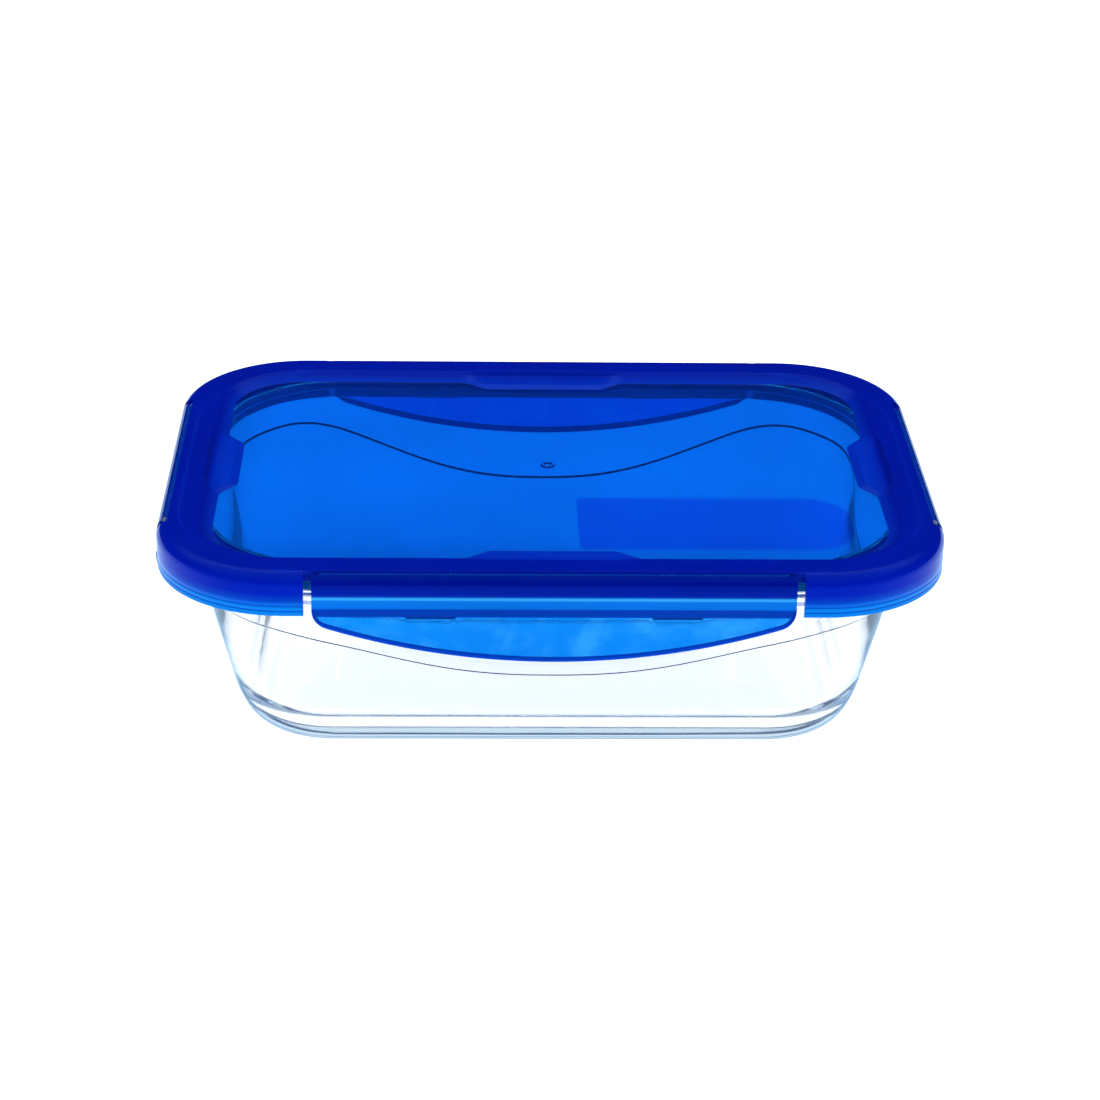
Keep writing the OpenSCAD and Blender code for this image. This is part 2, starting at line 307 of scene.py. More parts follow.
silicone, tree, shader = material("soft_clear_silicone")
shader.inputs["IOR"].default_value = 1.41
shader.inputs["Transmission Weight"].default_value = 0.75
shader.inputs["Subsurface Weight"].default_value = 0.3
shader.inputs["Subsurface Radius"].default_value = (0.004, 0.004, 0.004)
handled = add_marks(tree, 0.32, 0.5, 90.0)
tree.links.new(handled.outputs["Roughness"], shader.inputs["Roughness"])
shade = node(tree, "ShaderNodeMix", {"data_type": "RGBA"}, _0=handled.outputs["Height"],
             _6=(0.72, 0.77, 0.82, 1), _7=(0.80, 0.84, 0.88, 1))
tree.links.new(shade.outputs[2], shader.inputs["Base Color"])
skin = node(tree, "ShaderNodeBump", Strength=0.15, Distance=0.0003, Height=handled.outputs["Height"])
tree.links.new(skin.outputs[0], shader.inputs["Normal"])
gasket.data.materials.append(silicone)
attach(gasket, "lid")
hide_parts("silicone_gasket")

# ---------------------------------------------------------------------------------------------
# Lid cover. Injection-moulded polypropylene, clear blue: a thin flat panel inside a thick raised
# ring, four curved corner skirts, a plug wall and a channel rib below, a sunk thumb pad in the
# middle of each side, and the mould's gate mark in the centre.
# ---------------------------------------------------------------------------------------------
lid_low, lid_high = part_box("lid_cover")
crest_z = lid_high[2] / MM
lid_half_x = outline_x - lid_corner
lid_half_y = outline_y - lid_corner
panel_z = crest_z - 2.4
skirt_low = lid_low[2] / MM
long_pad, short_pad = 27.5, 24.0        # half the length of a thumb pad, by the side it is on
groove_u = 3.4                          # how far in the lid is cut back for a flap
flap_half = {"front": 71.3, "right": 45.9, "back": 71.3, "left": 45.9}
flap_gap = 2.35                         # between a flap's end and the corner skirt


def ease(value, low, high):
    k = min(max((value - low) / (high - low), 0.0), 1.0)
    return k * k * (3 - 2 * k)


def pad_at(t, half):
    """1 in a thumb pad, easing to 0 past its end."""
    return 1 - ease(abs(t), half - 9.5, half + 0.5)


def lid_profile(stop):
    """Section of the lid at a stop, as (radius from the corner centre, height)."""
    side, t = stop[4], stop[5]
    r = lid_corner
    pad = 0.0 if t is None else pad_at(t, long_pad if side % 2 else short_pad)
    floor = crest_z - 1.55

    def between(plain, sunk):
        return plain * (1 - pad) + sunk * pad
    shoulder = [(r - 4 + 4 * math.cos(math.radians(a)), crest_z - 4 + 4 * math.sin(math.radians(a)), 0)
                for a in range(0, 91, 9)]
    inside = [(r - 4 + 2.4 * math.cos(math.radians(a)), crest_z - 4 + 2.4 * math.sin(math.radians(a)), 0)
              for a in range(90, -1, -15)]
    top = [(r - between(12.5, 11.7), crest_z, between(1.2, 0.7)),
           (r - between(13.8, 12.9), between(crest_z - 0.7, floor), between(0.1, 0.6)),
           (r - between(15.4, 20.1), between(crest_z - 1.55, floor - 0.05), between(0.1, 0.8)),
           (r - between(17.0, 22.6), panel_z, 0.8), (r - 26.0, panel_z, 0)]
    below = [(2, panel_z, 0), (2, under_z, 0), (r - 4.6, under_z, 0.3), (r - 4.6, crest_z - 1.6, 0.3)]
    skirt = [(r - 1.6, skirt_low + 0.3, 0), (r - 1.25, skirt_low, 0), (r - 0.5, skirt_low, 0),
             (r - 0.12, skirt_low + 0.15, 0), (r, skirt_low + 0.6, 0), (r, skirt_low + 1.5, 0),
             (r - 0.14, skirt_low + 1.75, 0), (r, skirt_low + 2.0, 0), (r, skirt_low + 3.1, 0),
             (r - 0.12, skirt_low + 3.35, 0), (r, skirt_low + 3.6, 0), (r, skirt_low + 5.2, 0)]
    return rounded(shoulder + top + below + inside + skirt, 4)


lid_along_long = sorted(set(even(lid_half_x, 32) + even(30.0, 40)))
lid_along_short = sorted(set(even(lid_half_y, 16) + even(27.0, 36)))
lid_stops = stops_round(lid_half_x, lid_half_y, lid_along_long, lid_along_short, 20)


def lid_open_profile(stop):
    """The same section started on the top of the panel and ended under it, so both are capped."""
    whole = lid_profile(stop)
    cut = next(i for i, (r, z) in enumerate(whole) if abs(r - 2) < 1e-6)
    return list(reversed(whole[:cut + 1])) + list(reversed(whole[cut + 1:]))


lid = carried_round("lid_moulding", lid_stops, lid_open_profile, False)


def wall_round(name, inset, low):
    """A thin wall standing down from the lid and following the glass rim."""
    r = dish_corner - inset
    outline = rounded([(r - 0.7, low, 0), (r, low, 0.4), (r, under_z + 0.5, 0), (r - 1.4, under_z + 0.5, 0),
                       (r - 1.4, low, 0.4), (r - 0.7001, low, 0)], 3)
    return carried_round(name, dish_stops, lambda stop: outline, True)


def block(name, low, high):
    mesh = bmesh.new()
    bmesh.ops.create_cube(mesh, size=1.0)
    size = Vector(high) - Vector(low)
    for v in mesh.verts:
        v.co = (Vector(low) + Vector(((v.co[i] + 0.5) * size[i] for i in range(3)))) * MM
    return finished(name, mesh)


def turned(name, outline, steps=40):
    """A round piece turned about the upright axis through the centre."""
    mesh = bmesh.new()
    rings = [[mesh.verts.new((r * math.cos(2 * math.pi * i / steps) * MM,
                              r * math.sin(2 * math.pi * i / steps) * MM, z * MM)) for r, z in outline]
             for i in range(steps)]
    for i, ring in enumerate(rings):
        following = rings[(i + 1) % steps]
        for j in range(len(outline) - 1):
            mesh.faces.new((ring[j], following[j], following[j + 1], ring[j + 1]))
    mesh.faces.new([ring[0] for ring in reversed(rings)])
    mesh.faces.new([ring[-1] for ring in rings])
    bmesh.ops.recalc_face_normals(mesh, faces=mesh.faces)
    return finished(name, mesh)


def shaped(piece, tool, how):
    """Joins a tool shape to a piece or cuts it away, then drops the tool."""
    change = piece.modifiers.new("shape", "BOOLEAN")
    change.operation = how
    change.solver = "EXACT"
    change.object = tool
    settle(piece)
    bpy.data.objects.remove(tool)


def settle(piece):
    """Fixes a piece's modifiers into its mesh."""
    graph = bpy.context.evaluated_depsgraph_get()
    data = bpy.data.meshes.new_from_object(piece.evaluated_get(graph))
    piece.modifiers.clear()
    piece.data = data


shaped(lid, turned("gate", [(0.3, panel_z - 0.5), (2.3, panel_z - 0.5), (2.3, panel_z + 0.25),
                            (1.9, panel_z + 0.5), (1.4, panel_z + 0.45), (0.9, panel_z + 0.08),
                            (0.3, panel_z + 0.08)]), "UNION")
slot_low, slot_high = 50, 75
for y in (-1, 1):
    near, far = sorted((y * (outline_y - groove_u), y * (outline_y + 6)))
    half = flap_half["front"] + flap_gap
    shaped(lid, block("slot", (-half, near, slot_low), (half, far, slot_high)), "DIFFERENCE")
for x in (-1, 1):
    near, far = sorted((x * (outline_x - groove_u), x * (outline_x + 6)))
    half = flap_half["right"] + flap_gap
    shaped(lid, block("slot", (near, -half, slot_low), (far, half, slot_high)), "DIFFERENCE")


def clean(piece):
    """Joins points that fall together, so that no face is left without an area."""
    mesh = bmesh.new()
    mesh.from_mesh(piece.data)
    bmesh.ops.remove_doubles(mesh, verts=mesh.verts, dist=0.002 * MM)
    bmesh.ops.dissolve_degenerate(mesh, edges=mesh.edges, dist=0.002 * MM)
    mesh.to_mesh(piece.data)
    mesh.free()


def soften(piece, width):
    """Rounds the hard moulded edges a little, as a mould does."""
    bevel = piece.modifiers.new("soft_edges", "BEVEL")
    bevel.width = width * MM
    bevel.segments = 2
    bevel.limit_method = "ANGLE"
    bevel.angle_limit = math.radians(50)
    settle(piece)
    clean(piece)
    piece.data.polygons.foreach_set("use_smooth", [True] * len(piece.data.polygons))
    piece.data.set_sharp_from_angle(angle=math.radians(40))


soften(lid, 0.22)
shaped(lid, wall_round("plug_wall", plug_inset, rim_z - 1.7), "UNION")
shaped(lid, wall_round("channel_rib", 5.0, rim_z + 0.5), "UNION")
clean(lid)
lid.data.set_sharp_from_angle(angle=math.radians(40))
for face in lid.data.polygons:          # level faces are flat, so the panel doesn't bend what is behind it
    face.use_smooth = abs(face.normal.z) < 0.99999

# Moulded plastic: thin areas let light through and look lighter, thick or doubled areas go deep
# blue. Both are given by how far a point lies in from the lid's outline.
inset, given, sent = effect("distance_in_from_outline", [],
                            [("Inset", "NodeSocketFloat")])
place = node(inset, "ShaderNodeTexCoord").outputs["Object"]
mirrored = node(inset, "ShaderNodeVectorMath", {"operation": "ABSOLUTE"}, _0=place)
reach = node(inset, "ShaderNodeVectorMath", {"operation": "SUBTRACT"}, _0=mirrored.outputs[0],
             _1=(lid_half_x * MM, lid_half_y * MM, 10.0))
outside = node(inset, "ShaderNodeVectorMath", {"operation": "MAXIMUM"}, _0=reach.outputs[0], _1=(0, 0, 0))
length = node(inset, "ShaderNodeVectorMath", {"operation": "LENGTH"}, _0=outside.outputs[0])
axes = node(inset, "ShaderNodeSeparateXYZ", _0=reach.outputs[0])
larger = node(inset, "ShaderNodeMath", {"operation": "MAXIMUM"}, _0=axes.outputs[0], _1=axes.outputs[1])
within = node(inset, "ShaderNodeMath", {"operation": "MINIMUM"}, _0=larger.outputs[0], _1=0.0)
total = node(inset, "ShaderNodeMath", {"operation": "ADD"}, _0=length.outputs["Value"],
             _1=within.outputs[0])
inward = node(inset, "ShaderNodeMath", {"operation": "SUBTRACT"}, _0=lid_corner * MM, _1=total.outputs[0])
inset.links.new(inward.outputs[0], sent["Inset"])

# Moulded plastic is never quite even: broad soft clouds make its colour a little lighter or darker.
clouds, given, sent = effect("cloudy_tone", [("Colour", "NodeSocketColor", (1.0, 1.0, 1.0, 1.0)),
                                             ("Darker", "NodeSocketFloat", 0.93),
                                             ("Lighter", "NodeSocketFloat", 1.05)],
                             [("Colour", "NodeSocketColor")])
cloudy = node(clouds, "ShaderNodeTexNoise", Scale=18.0, Detail=2.0,
              Vector=node(clouds, "ShaderNodeTexCoord").outputs["Object"])
vary = node(clouds, "ShaderNodeMapRange", Value=cloudy.outputs["Fac"], _1=0.3, _2=0.7,
            _3=given["Darker"], _4=given["Lighter"])
toned = node(clouds, "ShaderNodeMix", {"data_type": "RGBA", "blend_type": "MULTIPLY"}, _0=1.0,
             _6=given["Colour"], _7=vary.outputs[0])
clouds.links.new(toned.outputs[2], sent["Colour"])


def add_clouds(tree, colour, darker, lighter):
    made = tree.nodes.new("ShaderNodeGroup")
    made.node_tree = clouds
    tree.links.new(colour, made.inputs["Colour"])
    made.inputs["Darker"].default_value = darker
    made.inputs["Lighter"].default_value = lighter
    return made.outputs["Colour"]


reflected_blue = (0.03, 0.26, 0.9, 1.0)
thin_blue = (0.001, 0.12, 0.72, 1.0)
thick_blue = (0.0004, 0.013, 0.55, 1.0)
skirt_blue = (0.002, 0.25, 0.95, 1.0)
# Thin dark stops in the skirt's tones, where its shallow grooves run: painted shade.
groove_painted_shade = (0.001, 0.09, 0.70, 1.0)


def thick_here(centre):
    """1 where the lid is thick, at the ring and the skirts, 2 on the walls below, 0 on the panel."""
    x, y, z = (c / MM for c in centre)
    across, over = max(abs(x) - lid_half_x, 0), max(abs(y) - lid_half_y, 0)
    inward = lid_corner - (math.hypot(across, over) if across and over else
                           max(abs(x) - lid_half_x, abs(y) - lid_half_y))
    if z < under_z + 0.1:
        return 1 if inward < 4.9 or z > under_z - 0.01 and inward < 17 else 2 if z < under_z - 0.01 else 0
    near_end = outline_x - abs(x) < outline_y - abs(y)
    pad = pad_at(y, short_pad) if near_end else pad_at(x, long_pad)
    return 1 if inward < 17.0 * (1 - pad) + 22.6 * pad else 0


lid_plastic, tree, shader = material("clear_blue_plastic")
shader.inputs["Specular Tint"].default_value = reflected_blue
shader.inputs["IOR"].default_value = 1.49
shader.inputs["Transmission Weight"].default_value = 0.9
zone = tree.nodes.new("ShaderNodeGroup")
zone.node_tree = inset
# Painted shade: the panel's colour is darkened, down to 0.86, close to the raised ring.
panel_shade_near_ring = node(tree, "ShaderNodeMapRange", {"interpolation_type": "SMOOTHSTEP"},
                 Value=zone.outputs["Inset"], _1=0.017, _2=0.032, _3=0.86, _4=1.0)
place = node(tree, "ShaderNodeTexCoord").outputs["Object"]
# Write-on patch: a finely matted area, with small corners at its inner end and large ones at the other.
from_patch = node(tree, "ShaderNodeVectorMath", {"operation": "SUBTRACT"}, _0=place,
                  _1=(0.0503, -0.0429, 0.0676))
patch_axes = node(tree, "ShaderNodeSeparateXYZ", _0=from_patch.outputs[0])
outer_end = node(tree, "ShaderNodeMath", {"operation": "GREATER_THAN"}, _0=patch_axes.outputs[0], _1=0.0)
corner = node(tree, "ShaderNodeMapRange", Value=outer_end.outputs[0], _3=0.002, _4=0.014)
gap_x = node(tree, "ShaderNodeMath", {"operation": "ABSOLUTE"}, _0=patch_axes.outputs[0])
gap_y = node(tree, "ShaderNodeMath", {"operation": "ABSOLUTE"}, _0=patch_axes.outputs[1])
past_x = node(tree, "ShaderNodeMath", {"operation": "ADD"}, _0=gap_x.outputs[0], _1=corner.outputs[0])
past_x = node(tree, "ShaderNodeMath", {"operation": "SUBTRACT"}, _0=past_x.outputs[0], _1=0.0422)
past_y = node(tree, "ShaderNodeMath", {"operation": "ADD"}, _0=gap_y.outputs[0], _1=corner.outputs[0])
past_y = node(tree, "ShaderNodeMath", {"operation": "SUBTRACT"}, _0=past_y.outputs[0], _1=0.0186)
past = node(tree, "ShaderNodeCombineXYZ", _0=past_x.outputs[0], _1=past_y.outputs[0])
past = node(tree, "ShaderNodeVectorMath", {"operation": "MAXIMUM"}, _0=past.outputs[0], _1=(0, 0, 0))
past = node(tree, "ShaderNodeVectorMath", {"operation": "LENGTH"}, _0=past.outputs[0])
edge = node(tree, "ShaderNodeMath", {"operation": "SUBTRACT"}, _0=past.outputs["Value"],
            _1=corner.outputs[0])
patch = node(tree, "ShaderNodeMapRange", Value=edge.outputs[0], _1=-0.00025, _2=0.0, _3=1.0, _4=0.0)
thin = node(tree, "ShaderNodeMix", {"data_type": "RGBA"}, _0=patch.outputs[0], _6=thin_blue,
            _7=(0.001, 0.063, 0.66, 1.0))
toned = node(tree, "ShaderNodeMix", {"data_type": "RGBA", "blend_type": "MULTIPLY"}, _0=1.0,
             _6=add_clouds(tree, thin.outputs[2], 0.93, 1.05), _7=panel_shade_near_ring.outputs[0])
tree.links.new(toned.outputs[2], shader.inputs["Base Color"])
handled = add_marks(tree, 0.0, 0.02, 60.0)
matted = node(tree, "ShaderNodeMath", {"operation": "MULTIPLY_ADD"}, _0=patch.outputs[0], _1=0.05,
              _2=handled.outputs["Roughness"])
tree.links.new(matted.outputs[0], shader.inputs["Roughness"])
grain = node(tree, "ShaderNodeBump", Strength=0.002, Distance=0.0002, Height=handled.outputs["Height"])
tree.links.new(grain.outputs[0], shader.inputs["Normal"])


tones_low, tones_high = 54.0, 70.0      # the heights between which thick plastic changes tone


def thick_plastic(name, tones, through, foot=None):
    """Deep blue thick plastic whose tone changes with height: tones are (height, colour). A foot
    colour comes in where the raised ring slopes down to the thin panel."""
    made, tree, shader = material(name)
    shader.inputs["Specular Tint"].default_value = reflected_blue
    shader.inputs["Specular IOR Level"].default_value = 0.2
    shader.inputs["IOR"].default_value = 1.49
    shader.inputs["Transmission Weight"].default_value = through
    place = node(tree, "ShaderNodeTexCoord").outputs["Object"]
    upright = node(tree, "ShaderNodeSeparateXYZ", _0=place)
    rise = node(tree, "ShaderNodeMapRange", Value=upright.outputs[2], _1=tones_low * MM,
                _2=tones_high * MM, _3=0.0, _4=1.0)
    blue = node(tree, "ShaderNodeValToRGB", _0=rise.outputs[0])
    ramp = blue.color_ramp.elements
    while len(ramp) < len(tones):
        ramp.new(0.5)
    for i, (z, colour) in enumerate(tones):
        ramp[i].position, ramp[i].color = (z - tones_low) / (tones_high - tones_low), colour
    colour = blue.outputs[0]
    if foot:
        zone = tree.nodes.new("ShaderNodeGroup")
        zone.node_tree = inset
        sloping = node(tree, "ShaderNodeMapRange", {"interpolation_type": "SMOOTHSTEP"},
                       Value=zone.outputs["Inset"], _1=0.0128, _2=0.0172, _3=0.0, _4=1.0)
        colour = node(tree, "ShaderNodeMix", {"data_type": "RGBA"}, _0=sloping.outputs[0], _6=colour,
                      _7=foot).outputs[2]
    tree.links.new(add_clouds(tree, colour, 0.92, 1.06), shader.inputs["Base Color"])
    handled = add_marks(tree, 0.12, 0.2, 60.0)
    tree.links.new(handled.outputs["Roughness"], shader.inputs["Roughness"])
    grain = node(tree, "ShaderNodeBump", Strength=0.05, Distance=0.0002, Height=handled.outputs["Height"])
    tree.links.new(grain.outputs[0], shader.inputs["Normal"])
    return made


lid.data.materials.clear()
lid.data.materials.append(lid_plastic)
# The dark stops at 58.45 and 60.05 mm are painted shade in the skirt's two shallow grooves.
lid.data.materials.append(thick_plastic("deep_blue_ring_plastic", [
    (56.7, skirt_blue), (58.1, skirt_blue), (58.45, groove_painted_shade), (58.8, skirt_blue), (59.6, skirt_blue),
    (60.05, groove_painted_shade), (60.5, (0.0015, 0.16, 0.84, 1.0)), (61.6, (0.0008, 0.06, 0.62, 1.0)),
    (63.9, thick_blue)], 0.12, (0.0008, 0.035, 0.70, 1.0)))
# The walls below are given a lighter blue than the panel: painted light, standing in for the light that
# reaches them through the thin lid.
lid.data.materials.append(thick_plastic("clear_blue_wall_painted_light", [
    (60.0, (0.02, 0.45, 0.97, 1.0)), (66.0, (0.02, 0.42, 0.96, 1.0))], 0.8))
for face in lid.data.polygons:
    face.material_index = thick_here(face.center)
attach(lid, "lid")
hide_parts("lid_cover")

# ---------------------------------------------------------------------------------------------
# Living hinges. A flap and the cover are one moulding, joined by a web under 0.4 mm thick that
# bends. Bending has drawn its plastic into fine fibres.
# ---------------------------------------------------------------------------------------------
hinge_plastic, tree, shader = material("stretched_hinge_plastic")
shader.inputs["IOR"].default_value = 1.49
shader.inputs["Transmission Weight"].default_value = 0.15
shader.inputs["Specular Tint"].default_value = reflected_blue
shader.inputs["Specular IOR Level"].default_value = 0.2
place = node(tree, "ShaderNodeTexCoord").outputs["Object"]
fibres = node(tree, "ShaderNodeTexNoise", Vector=place, Scale=700.0, Detail=3.0)
stretched = node(tree, "ShaderNodeMix", {"data_type": "RGBA"}, _0=fibres.outputs["Fac"],
                 _6=(0.0006, 0.022, 0.46, 1), _7=(0.002, 0.09, 0.64, 1))
tree.links.new(stretched.outputs[2], shader.inputs["Base Color"])
handled = add_marks(tree, 0.2, 0.35, 120.0)
tree.links.new(handled.outputs["Roughness"], shader.inputs["Roughness"])
pulled = node(tree, "ShaderNodeBump", Strength=0.06, Distance=0.0002, Height=fibres.outputs["Fac"])
tree.links.new(pulled.outputs[0], shader.inputs["Normal"])


def faced(side, along, inward, z):
    """A point given along a side, inward from its outline, and up, in metres."""
    if side == "front":
        return (along * MM, (inward - outline_y) * MM, z * MM)
    if side == "back":
        return (-along * MM, (outline_y - inward) * MM, z * MM)
    if side == "right":
        return ((outline_x - inward) * MM, along * MM, z * MM)
    return ((inward - outline_x) * MM, -along * MM, z * MM)


def drawn_along(name, side, stops, section_at, first_rows=(), second_rows=()):
    """A mesh made by carrying a closed section along a side, capped at both ends."""
    mesh = bmesh.new()
    rings = [[mesh.verts.new(faced(side, t, u, z)) for u, z in section_at(t)] for t in stops]
    count = len(rings[0])
    for ring, following in zip(rings, rings[1:]):
        for j in range(count):
            k = (j + 1) % count
            face = mesh.faces.new((ring[j], following[j], following[k], ring[k]))
            face.material_index = 1 if j in first_rows else 2 if j in second_rows else 0
    mesh.faces.new(list(reversed(rings[0])))
    mesh.faces.new(rings[-1])
    bmesh.ops.recalc_face_normals(mesh, faces=mesh.faces)
    return finished(name, mesh)


hinge_z = crest_z - 0.8
hinge_short = 2.3                       # how much shorter the web is than its flap, at each end
web_section = [(2.06, hinge_z + 0.19), (2.4, hinge_z + 0.13), (2.7, hinge_z + 0.11), (3.0, hinge_z + 0.13),
               (3.4, hinge_z + 0.19), (3.4, hinge_z - 0.19), (3.0, hinge_z - 0.13), (2.7, hinge_z - 0.11),
               (2.4, hinge_z - 0.13), (2.06, hinge_z - 0.19)]
for side, half in flap_half.items():
    web = drawn_along(side + "_hinge_web", side, even(half - hinge_short, 20), lambda t: web_section)
    web.data.materials.append(hinge_plastic)
    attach(web, "lid")
    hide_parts(side + "_hinge")

# ---------------------------------------------------------------------------------------------
# Locking flaps. Each is a thin moulded plate that carries on the lid's rounded shoulder, with a
# rib inside that snaps under the glass flange and a curved finger tab edged with a bead.
# ---------------------------------------------------------------------------------------------
tab_low = 42.0
tab_radius = {"front": 215.0, "right": 95.0, "back": 215.0, "left": 95.0}
flap_t = 1.5
rib_out = 1.36                          # how far the rib stands out, over the 0.04 mm at its ends
rib_top = rim_z - flange_t - 0.3        # 0.3 mm clear of the flange


def tab_edge(half, radius):
    """(along, height) down the tab's lower edge, from one side of the flap to the other."""
    corner, gap = 6.0, radius - 6.0
    x = half - corner
    z = tab_low + radius - math.sqrt(gap * gap - x * x)
    lean = math.asin(x / gap)
    right = []
    for i in range(9):
        a = (lean - math.pi / 2) * i / 8
        right.append((x + corner * math.cos(a), z + corner * math.sin(a)))
    steps = 22
    for i in range(1, steps + 1):
        b = lean * (1 - i / steps)
        right.append((radius * math.sin(b), tab_low + radius - radius * math.cos(b)))
    return [(-t, h) for t, h in right[:-1]] + list(reversed(right))


def flap_section(t, edge_z, half):
    """Section of a flap as (inward, height): outside going down, inside coming back up."""
    block_at = abs(abs(t) - (half - 5) * 0.55)
    deep = 1 - ease(block_at, 7.0, 8.2)
    rib = rib_out * (1 - ease(abs(t), half - 6.5, half - 5.0)) + 0.04
    rib_low = rib_top - 1.2 - 1.1 * deep
    arc = [(4 - 4 * math.cos(math.radians(a)), 66 + 4 * math.sin(math.radians(a)))
           for a in (60, 52, 44, 36, 28, 20, 13, 6, 0)]
    bead_room = min(1.5, max(66 - 1 - edge_z, 0.2) * 0.25)
    foot = edge_z + bead_room * 1.15
    outside = arc + [(0.0, 64.0), (0.0, max(61.0, foot + 0.3)), (0.0, max(59.3, foot + 0.2)),
                     (0.0, max(56.6, foot + 0.1)),
                     (0.0, edge_z + bead_room * 1.12), (-0.18, edge_z + bead_room * 1.0),
                     (-0.42, edge_z + bead_room * 0.8), (-0.55, edge_z + bead_room * 0.5),
                     (-0.42, edge_z + bead_room * 0.2), (-0.1, edge_z + 0.02)]
    edge = [(0.6, edge_z), (flap_t + 0.05, edge_z + 0.03), (flap_t + 0.26, edge_z + bead_room * 0.3),
            (flap_t + 0.26, edge_z + bead_room * 0.7), (flap_t, edge_z + bead_room)]
    low = max(rib_low - 0.25, edge_z + bead_room * 1.1)
    inside = [(flap_t, low), (flap_t + rib * 0.9, max(rib_low, low + 0.05)),
              (flap_t + rib, max(rib_low + 0.2, low + 0.1)),
              (flap_t + rib, max(rib_top - 0.15, low + 0.15)),
              (flap_t + rib * 0.9, max(rib_top, low + 0.2)), (flap_t, max(rib_top, low + 0.25)),
              (flap_t, 62.5), (flap_t, 66.0)]
    inner_arc = [(4 - 2.5 * math.cos(math.radians(a)), 66 + 2.5 * math.sin(math.radians(a)))
                 for a in (9, 18, 27, 36.87)]
    return outside + edge + inside + inner_arc


flap_plastic, tree, shader = material("clear_blue_flap_plastic")
shader.inputs["Specular Tint"].default_value = reflected_blue
shader.inputs["IOR"].default_value = 1.49
shader.inputs["Transmission Weight"].default_value = 0.9
place = node(tree, "ShaderNodeTexCoord").outputs["Object"]
upright = node(tree, "ShaderNodeSeparateXYZ", _0=place)
band = node(tree, "ShaderNodeMapRange", {"interpolation_type": "SMOOTHSTEP"}, Value=upright.outputs[2],
            _1=0.0560, _2=0.0585, _3=0.0, _4=1.0)
mottled = node(tree, "ShaderNodeTexNoise", Vector=place, Scale=90.0, Detail=5.0, Roughness=0.65)
pale_spots = node(tree, "ShaderNodeMapRange", {"interpolation_type": "SMOOTHSTEP"},
                  Value=mottled.outputs["Fac"], _1=0.40, _2=0.68, _3=0.0, _4=1.0)
tab = node(tree, "ShaderNodeMix", {"data_type": "RGBA"}, _0=pale_spots.outputs[0],
           _6=(0.003, 0.26, 0.84, 1.0), _7=(0.030, 0.37, 0.92, 1.0))
tone = node(tree, "ShaderNodeMix", {"data_type": "RGBA"}, _0=band.outputs[0],
            _6=tab.outputs[2], _7=(0.002, 0.09, 0.66, 1.0))
tree.links.new(add_clouds(tree, tone.outputs[2], 0.93, 1.05), shader.inputs["Base Color"])
handled = add_marks(tree, 0.05, 0.12, 60.0)
tree.links.new(handled.outputs["Roughness"], shader.inputs["Roughness"])
grain = node(tree, "ShaderNodeBump", Strength=0.06, Distance=0.0002, Height=handled.outputs["Height"])
tree.links.new(grain.outputs[0], shader.inputs["Normal"])

bead_plastic = thick_plastic("deep_blue_bead_plastic", [(54.0, (0.001, 0.07, 0.70, 1.0)),
                                                        (57.0, (0.001, 0.05, 0.60, 1.0))], 0.2)
# Above the tab the light that comes round the flange is painted in: a painted highlight line under the
# shoulder, a clear band, then the painted shade of the rib behind.
painted_light_band_plastic = thick_plastic("clear_blue_band_painted_light", [
    (56.4, (0.001, 0.045, 0.48, 1.0)), (59.0, (0.001, 0.05, 0.52, 1.0)), (59.5, (0.002, 0.17, 0.80, 1.0)),
    (61.9, (0.003, 0.22, 0.86, 1.0)), (62.3, (0.05, 0.46, 0.95, 1.0)), (62.8, (0.03, 0.40, 0.93, 1.0)),
    (63.2, (0.001, 0.04, 0.50, 1.0)), (64.0, (0.0003, 0.008, 0.38, 1.0))], 0.2)
# Faces down a flap's section: the bead is the foot and edge, the painted band of light and shade is the
# shoulder and the rib.
bead_rows = set(range(13, 22)) | set(range(24, 29))
painted_band_rows = set(range(0, 12)) | set(range(31, 37))

for side, half in flap_half.items():
    lower = tab_edge(half, tab_radius[side])
    extra = [s * ((half - 5) * 0.55 + d) for s in (-1, 1) for d in (-8.2, -7.0, 7.0, 8.2)]
    extra += [s * (half - d) for s in (-1, 1) for d in (6.5, 5.8, 5.0)]

    def edge_at(t, lower=lower):
        for (t0, z0), (t1, z1) in zip(lower, lower[1:]):
            if t0 <= t <= t1 and t1 > t0:
                return z0 + (z1 - z0) * (t - t0) / (t1 - t0)
        return lower[0][1]
    stops = sorted({round(t, 4) for t, z in lower} | {round(t, 4) for t in extra})
    flap = drawn_along(side + "_flap_moulding", side, stops,
                       lambda t, half=half, edge_at=edge_at: flap_section(t, edge_at(t), half),
                       bead_rows, painted_band_rows)
    for plastic in (flap_plastic, bead_plastic, painted_light_band_plastic):
        flap.data.materials.append(plastic)
    soften(flap, 0.18)
    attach(flap, side + "_flap")
    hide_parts(side + "_flap")

# ---------------------------------------------------------------------------------------------
# Studio. A plain white light table under a soft overhead dome that is dark towards the horizon,
# so that the plastic keeps its depth and the glass is lit through from below.
# ---------------------------------------------------------------------------------------------
mesh = bmesh.new()
bmesh.ops.create_circle(mesh, cap_ends=True, radius=14.0, segments=96)
floor = finished("studio_floor", mesh)
paper, tree, shader = material("studio_paper")
shader.inputs["Roughness"].default_value = 0.9
shader.inputs["Specular IOR Level"].default_value = 0.1
place = node(tree, "ShaderNodeTexCoord").outputs["Object"]
fibre = node(tree, "ShaderNodeTexNoise", Vector=place, Scale=400.0, Detail=2.0)
pale = node(tree, "ShaderNodeMix", {"data_type": "RGBA"}, _0=fibre.outputs["Fac"],
            _6=(0.9, 0.905, 0.91, 1), _7=(0.93, 0.93, 0.93, 1))
tree.links.new(pale.outputs[2], shader.inputs["Base Color"])
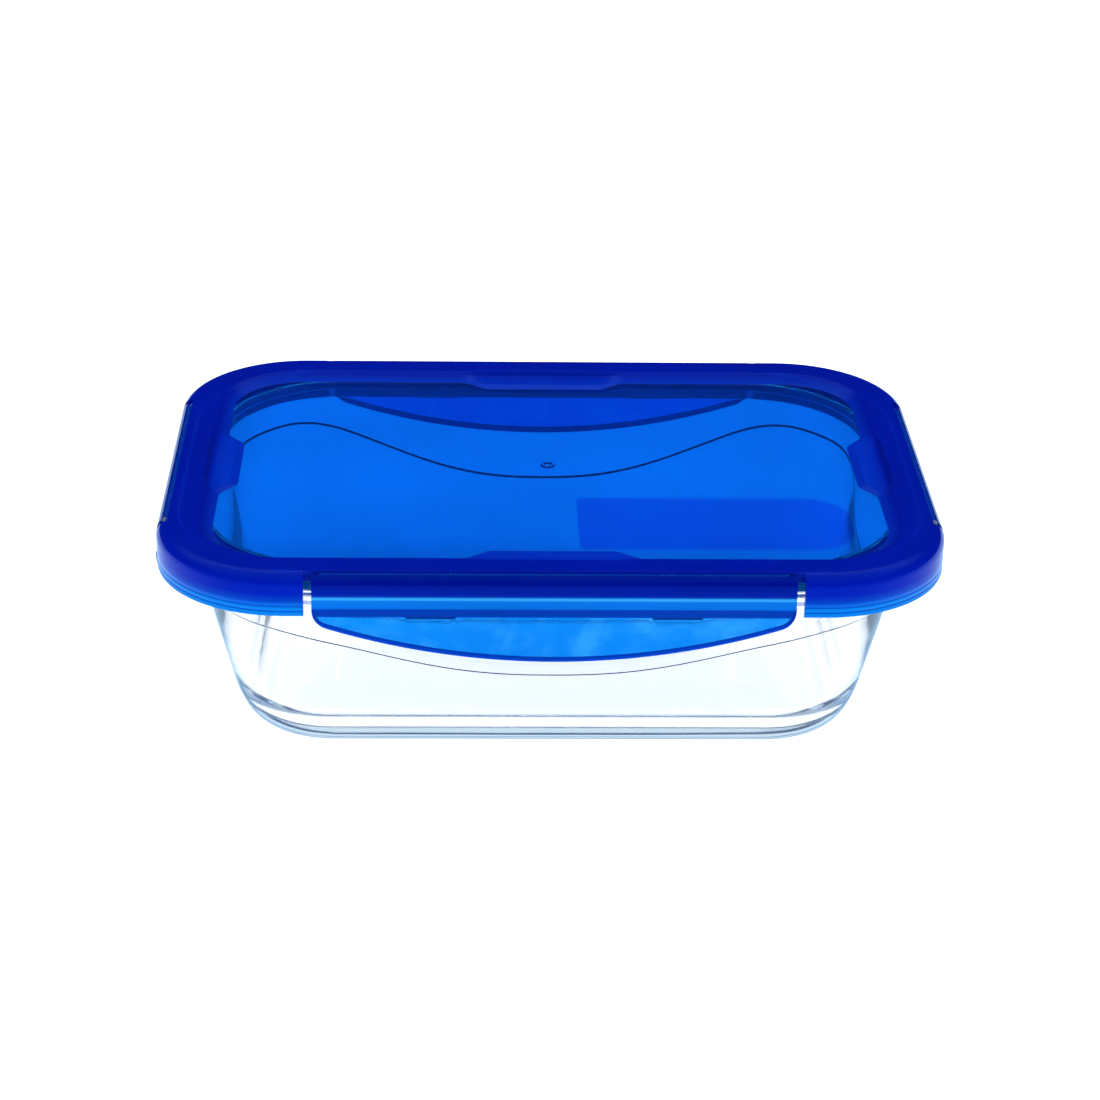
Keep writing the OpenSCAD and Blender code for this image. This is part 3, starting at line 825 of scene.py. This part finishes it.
# The lit table looks cool and dim where it is only seen as a reflection on the plastic.
path = tree.nodes.new("ShaderNodeLightPath")
reflected = node(tree, "ShaderNodeMath", {"operation": "SUBTRACT", "use_clamp": True},
                 _0=path.outputs["Is Glossy Ray"], _1=path.outputs["Is Transmission Ray"])
glow = node(tree, "ShaderNodeMix", {"data_type": "RGBA"}, _0=reflected.outputs[0], _6=pale.outputs[2],
            _7=(0.16, 0.46, 0.78, 1.0))
tree.links.new(glow.outputs[2], shader.inputs["Emission Color"])
shader.inputs["Emission Strength"].default_value = 1.15
floor.data.materials.append(paper)

world = bpy.context.scene.world or bpy.data.worlds.new("studio_dome")
bpy.context.scene.world = world
world.use_nodes = True
tree = world.node_tree
sky = next(n for n in tree.nodes if n.type == "BACKGROUND")
direction = node(tree, "ShaderNodeTexCoord").outputs["Generated"]
height = node(tree, "ShaderNodeSeparateXYZ", _0=direction)
dome = node(tree, "ShaderNodeMapRange", {"interpolation_type": "SMOOTHSTEP"}, Value=height.outputs[2],
            _1=0.52, _2=0.80, _3=0.02, _4=1.3)
# The pale walls of the room show through the glass but, as with a polarising filter, not as
# reflections on the plastic.
wall = node(tree, "ShaderNodeMapRange", {"interpolation_type": "SMOOTHSTEP"}, Value=height.outputs[2],
            _1=0.50, _2=0.70, _3=0.95, _4=0.0)
seen = tree.nodes.new("ShaderNodeLightPath").outputs["Is Transmission Ray"]
walls = node(tree, "ShaderNodeMath", {"operation": "MULTIPLY"}, _0=wall.outputs[0], _1=seen)
both = node(tree, "ShaderNodeMath", {"operation": "ADD"}, _0=dome.outputs[0], _1=walls.outputs[0])
path = tree.nodes.new("ShaderNodeLightPath")
reflected = node(tree, "ShaderNodeMath", {"operation": "SUBTRACT", "use_clamp": True},
                 _0=path.outputs["Is Glossy Ray"], _1=path.outputs["Is Transmission Ray"])
cool = node(tree, "ShaderNodeMix", {"data_type": "RGBA"}, _0=reflected.outputs[0], _6=(1.0, 1.0, 1.0, 1.0),
            _7=(0.35, 0.70, 1.0, 1.0))
tree.links.new(cool.outputs[2], sky.inputs["Color"])
tree.links.new(both.outputs[0], sky.inputs["Strength"])

bpy.context.scene.view_settings.view_transform = "Standard"
# Light runs a long way inside thick glass before it comes out.
bpy.context.scene.cycles.max_bounces = 32
bpy.context.scene.cycles.glossy_bounces = 16
bpy.context.scene.cycles.transmission_bounces = 24

# Camera: a long lens a little above the lid, turned slightly to one side.
aim = Vector((0, 0, 0.066))
lift, turn, roll = math.radians(23.92), math.radians(-1.84), math.radians(-1.02)
pan, tilt = math.radians(-0.0733), math.radians(1.5582)
distance = 0.93852
lens = bpy.data.cameras.new("studio_camera")
lens.sensor_width = 36.0
lens.lens = 96.23
lens.clip_start = 0.01
camera = bpy.data.objects.new("studio_camera", lens)
bpy.context.collection.objects.link(camera)
stand = Matrix.Rotation(turn, 4, "Z") @ Matrix.Rotation(math.pi / 2 - lift, 4, "X")
camera.matrix_world = (Matrix.Translation(aim + stand.to_3x3() @ Vector((0, 0, distance))) @ stand
                       @ Matrix.Rotation(pan, 4, "Y") @ Matrix.Rotation(-tilt, 4, "X")
                       @ Matrix.Rotation(-roll, 4, "Z"))
bpy.context.scene.camera = camera
